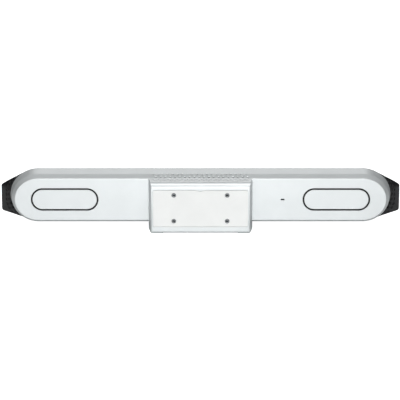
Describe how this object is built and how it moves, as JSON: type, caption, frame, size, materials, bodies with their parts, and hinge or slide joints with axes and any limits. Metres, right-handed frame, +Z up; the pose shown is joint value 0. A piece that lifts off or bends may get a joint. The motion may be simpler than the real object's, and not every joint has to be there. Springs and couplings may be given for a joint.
{
  "type": "video conference camera bar",
  "caption": "Wide silver conference camera bar with round ends, dark honeycomb front, rear connector block with threaded mount, sliding lens shutter and speakers.",
  "frame": {"origin": "on the floor between the rubber feet, at the middle of the box in X and Y", "axes": "+Z up, +Y to the rear (the connector block and mount face +Y, the lens looks along -Y), +X to the right as seen from the front"},
  "size_m": [0.763, 0.105, 0.1093],
  "materials": {
    "silver_paint": "fine silver-white paint on moulded ABS",
    "white_plastic": "satin white moulded ABS",
    "insert_steel": "turned steel thread inserts",
    "grey_rubber": "light grey silicone rubber",
    "dark_steel": "blackened steel plate",
    "black_plastic": "black ABS, fine spark texture",
    "grille_black": "black moulded honeycomb, satin rim",
    "black_cloth": "woven acoustic cloth",
    "zinc_steel": "zinc-plated steel",
    "gloss_black": "high-gloss black acrylic-faced ABS",
    "window_glass": "coated cover glass",
    "shutter_grey": "satin dark grey acetal",
    "circuit_board": "solder-masked glass fibre board",
    "sensor_glass": "sensor cover glass over silicon",
    "barrel_black": "black anodised",
    "lens_glass": "coated optical glass",
    "light_pipe": "frosted clear acrylic",
    "microphone_can": "plated can",
    "basket_steel": "black painted pressed steel",
    "ferrite": "ferrite ring with steel pole",
    "paper_cone": "black pressed paper",
    "black_rubber": "butyl rubber half roll",
    "silk_dome": "doped silk",
    "chip_black": "moulded epoxy",
    "thermal_rubber": "soft silicone pad",
    "heat_sink_aluminium": "extruded, clear anodised",
    "tinned_steel": "tinned pressed steel",
    "ribbon_film": "polyimide film over copper"
  },
  "bodies": {
    "bar": {"rear_housing": "silver_paint", "connector_housing": "silver_paint", "cable_cover": "white_plastic", "mount_inserts": "insert_steel", "rubber_feet": "grey_rubber", "lock_plate": "dark_steel", "port_cover_left": "silver_paint", "port_cover_right": "silver_paint", "port_liner_left": "black_plastic", "port_liner_right": "black_plastic", "front_baffle": "black_plastic", "baffle_screws": "zinc_steel", "grille_left": "grille_black", "grille_right": "grille_black", "acoustic_cloth_left": "black_cloth", "acoustic_cloth_right": "black_cloth", "grille_screws": "zinc_steel", "camera_bezel": "gloss_black", "lens_window": "window_glass", "shutter_carrier": "black_plastic", "camera_bracket": "zinc_steel", "camera_board": "circuit_board", "camera_screws": "zinc_steel", "image_sensor": "sensor_glass", "lens_barrel": "barrel_black", "lens_elements": "lens_glass", "status_light_pipe": "light_pipe", "status_led_board": "circuit_board", "microphone_boards": "circuit_board", "microphones": "microphone_can", "speaker_box_left": "black_plastic", "speaker_box_right": "black_plastic", "woofer_frame_left": "basket_steel", "woofer_frame_right": "basket_steel", "woofer_magnets": "ferrite", "woofer_surround_left": "black_rubber", "woofer_surround_right": "black_rubber", "tweeters": "black_plastic", "tweeter_domes": "silk_dome", "driver_screws": "zinc_steel", "main_board": "circuit_board", "board_screws": "zinc_steel", "processor": "chip_black", "memory_chips": "chip_black", "thermal_pad": "thermal_rubber", "heat_sink": "heat_sink_aluminium", "shield_can": "tinned_steel", "connector_board": "circuit_board", "reset_switch": "chip_black", "hdmi_sockets": "tinned_steel", "usb_sockets": "tinned_steel", "ethernet_socket": "tinned_steel", "power_socket": "black_plastic", "antennas": "circuit_board", "ribbon_cables": "ribbon_film"},
    "shutter": {"privacy_shutter": "shutter_grey"},
    "reset": {"reset_button": "shutter_grey"},
    "cone_left": {"woofer_cone_left": "paper_cone"},
    "cone_right": {"woofer_cone_right": "paper_cone"}
  },
  "joints": [
    {"name": "shutter_slide", "type": "slide", "parent": "bar", "child": "shutter", "axis": [-1, 0, 0], "range_m": [0, 0.028]},
    {"name": "reset_press", "type": "slide", "parent": "bar", "child": "reset", "axis": [0, -1, 0], "range_m": [0, 0.0008], "stiffness_N_per_m": 1500},
    {"name": "cone_left_travel", "type": "slide", "parent": "bar", "child": "cone_left", "axis": [0, -1, 0], "range_m": [-0.0025, 0.0025], "stiffness_N_per_m": 1000},
    {"name": "cone_right_travel", "type": "slide", "parent": "bar", "child": "cone_right", "axis": [0, -1, 0], "range_m": [-0.0025, 0.0025], "stiffness_N_per_m": 1000}
  ]
}
